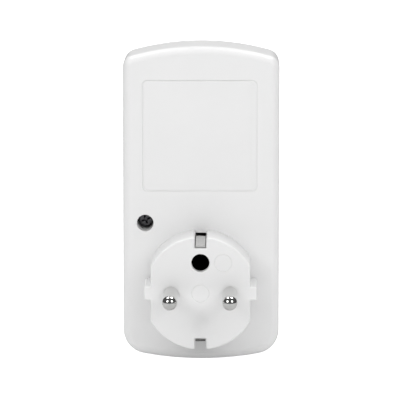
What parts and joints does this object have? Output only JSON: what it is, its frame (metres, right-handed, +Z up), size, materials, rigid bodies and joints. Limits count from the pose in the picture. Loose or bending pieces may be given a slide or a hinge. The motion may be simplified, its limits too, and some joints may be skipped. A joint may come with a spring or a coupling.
{
  "type": "plug-in power meter",
  "caption": "Plug-in energy meter: white two-part case, round-pin earthed plug with ribs behind, earthed outlet, display and press keys in front",
  "frame": {"origin": "centre of the plug's face, midway between the two pins", "axes": "+Z up along the case, -Y the way the plug's pins point, +Y the way the outlet and the display face, +X to the right seen from the plug's side"},
  "size_m": [0.051, 0.074, 0.103],
  "materials": {
    "shell_white": "satin gloss",
    "label_film": "semi-gloss film",
    "nickel_plate": "nickel plated, polished",
    "screw_steel": "zinc plated",
    "contact_brass": "bright",
    "tinned_copper": "bright",
    "inner_plastic": "matte",
    "shutter_plastic": "satin",
    "board_laminate": "solder mask, semi-gloss",
    "black_epoxy": "matte",
    "film_blue": "gloss epoxy",
    "sleeve_green": "shrink sleeve",
    "resistor_body": "cement coat",
    "can_steel": "satin",
    "lead_blue": "insulation",
    "lcd_layers": "polarised film",
    "window_clear": "polished, clear",
    "mat_rubber": "matte silicone",
    "carbon_pill": "matte",
    "key_grey": "fine satin"
  },
  "bodies": {
    "case": {"rear_cover": "shell_white", "front_cover": "shell_white", "plug_body": "shell_white", "outlet_insert": "shell_white", "rating_label": "label_film", "case_screws": "screw_steel", "live_pin": "nickel_plate", "neutral_pin": "nickel_plate", "plug_earth_tube": "nickel_plate", "earth_bracket": "nickel_plate", "pin_retainer": "inner_plastic", "retainer_screw": "screw_steel", "outlet_earth_pin": "nickel_plate", "shutter_spring": "screw_steel", "live_contact": "contact_brass", "neutral_contact": "contact_brass", "contact_carrier": "inner_plastic", "carrier_screws": "screw_steel", "live_in_bar": "tinned_copper", "live_out_bar": "tinned_copper", "neutral_bar": "tinned_copper", "sense_lead": "lead_blue", "shunt_resistor": "tinned_copper", "main_board": "board_laminate", "board_screws": "screw_steel", "film_capacitor": "film_blue", "varistor": "film_blue", "smoothing_capacitors": "black_epoxy", "rectifier_diodes": "black_epoxy", "fusible_resistor": "resistor_body", "metering_chip": "black_epoxy", "quartz_crystal": "can_steel", "backup_battery": "sleeve_green", "battery_tabs": "can_steel", "board_connector": "black_epoxy", "display_board": "board_laminate", "display_screws": "screw_steel", "controller_chip": "black_epoxy", "lcd_panel": "lcd_layers", "lcd_frame": "inner_plastic", "zebra_strips": "mat_rubber", "display_window": "window_clear", "keypad_mat": "mat_rubber"},
    "cost_key": {"cost_key": "key_grey", "cost_pill": "carbon_pill"},
    "energy_key": {"energy_key": "key_grey", "energy_pill": "carbon_pill"},
    "down_key": {"down_key": "key_grey", "down_pill": "carbon_pill"},
    "up_key": {"up_key": "key_grey", "up_pill": "carbon_pill"},
    "mode_key": {"mode_key": "key_grey", "mode_pill": "carbon_pill"},
    "shutter": {"shutter": "shutter_plastic"}
  },
  "joints": [
    {"name": "cost_key_press", "type": "slide", "parent": "case", "child": "cost_key", "axis": [0, -1, 0], "range_m": [0, 0.001], "stiffness_N_per_m": 600, "springref_m": -0.0002},
    {"name": "energy_key_press", "type": "slide", "parent": "case", "child": "energy_key", "axis": [0, -1, 0], "range_m": [0, 0.001], "stiffness_N_per_m": 600, "springref_m": -0.0002},
    {"name": "down_key_press", "type": "slide", "parent": "case", "child": "down_key", "axis": [0, -1, 0], "range_m": [0, 0.001], "stiffness_N_per_m": 600, "springref_m": -0.0002},
    {"name": "up_key_press", "type": "slide", "parent": "case", "child": "up_key", "axis": [0, -1, 0], "range_m": [0, 0.001], "stiffness_N_per_m": 600, "springref_m": -0.0002},
    {"name": "mode_key_press", "type": "slide", "parent": "case", "child": "mode_key", "axis": [0, -1, 0], "range_m": [0, 0.001], "stiffness_N_per_m": 600, "springref_m": -0.0002},
    {"name": "shutter_slide", "type": "slide", "parent": "case", "child": "shutter", "axis": [0, 0, -1], "range_m": [0, 0.0056], "stiffness_N_per_m": 120, "springref_m": -0.002, "deforming": ["shutter_spring"]}
  ]
}
